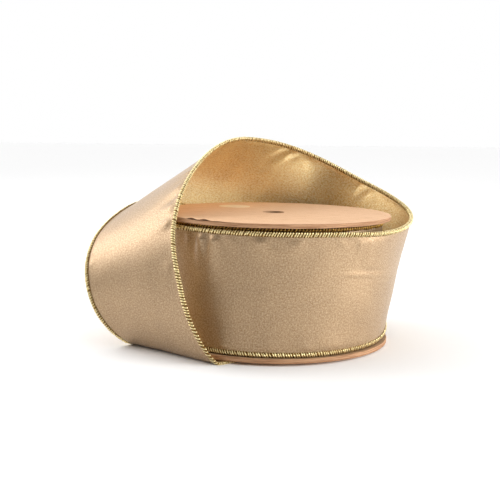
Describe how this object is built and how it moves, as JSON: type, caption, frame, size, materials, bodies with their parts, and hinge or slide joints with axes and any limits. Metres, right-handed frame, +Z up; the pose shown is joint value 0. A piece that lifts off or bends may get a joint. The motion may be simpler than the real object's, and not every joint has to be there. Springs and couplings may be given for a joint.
{
  "type": "ribbon spool",
  "caption": "Card spool of wide wired ribbon lying flat, with its last turn unwound into a loop that climbs over the flange and tucks underneath.",
  "frame": {"origin": "on the spool's axis, in the outer face of the lower flange", "axes": "+Z up along the arbor hole; the loose ribbon's lobe is towards -X and its tucked tail towards -X and -Y"},
  "size_m": [0.1805, 0.1472, 0.1124],
  "materials": {
    "kraft_paper": "matt kraft paper, glued flat",
    "chipboard": "die-cut grey-brown chipboard edge",
    "core_card": "spiral-wound card tube, matt",
    "hot_melt_glue": "set hot-melt glue",
    "clear_tape": "clear adhesive tape",
    "label_paper": "pale paper label, blank",
    "edge_wire": "thin annealed steel wire",
    "metallic_edge_thread": "metallic gold thread whipped over the wire",
    "woven_ribbon": "taupe satin outside, gold lame inside"
  },
  "bodies": {
    "spool": {"bottom_facing": "kraft_paper", "bottom_flange": "chipboard", "lower_glue_ring": "hot_melt_glue", "core_tube": "core_card", "upper_glue_ring": "hot_melt_glue", "top_flange": "chipboard", "top_facing": "kraft_paper", "wound_lower_edge": "metallic_edge_thread", "wound_fabric": "woven_ribbon", "wound_upper_edge": "metallic_edge_thread", "start_tape": "clear_tape", "blank_label": "label_paper"},
    "loose_ribbon": {"outer_turn_fabric": "woven_ribbon", "outer_turn_lower_edge": "metallic_edge_thread", "outer_turn_upper_edge": "metallic_edge_thread", "rising_fabric": "woven_ribbon", "rising_lower_edge": "metallic_edge_thread", "rising_upper_edge": "metallic_edge_thread", "lobe_fabric": "woven_ribbon", "lobe_lower_edge": "metallic_edge_thread", "lobe_upper_edge": "metallic_edge_thread", "tail_fabric": "woven_ribbon", "tail_lower_edge": "metallic_edge_thread", "tail_upper_edge": "metallic_edge_thread", "loose_lower_wire": "edge_wire", "loose_upper_wire": "edge_wire"}
  },
  "joints": [
    {"name": "ribbon_unwinding", "type": "hinge", "parent": "spool", "child": "loose_ribbon", "pos_m": [0, 0, 0], "axis": [0, 0, 1], "continuous": true}
  ]
}
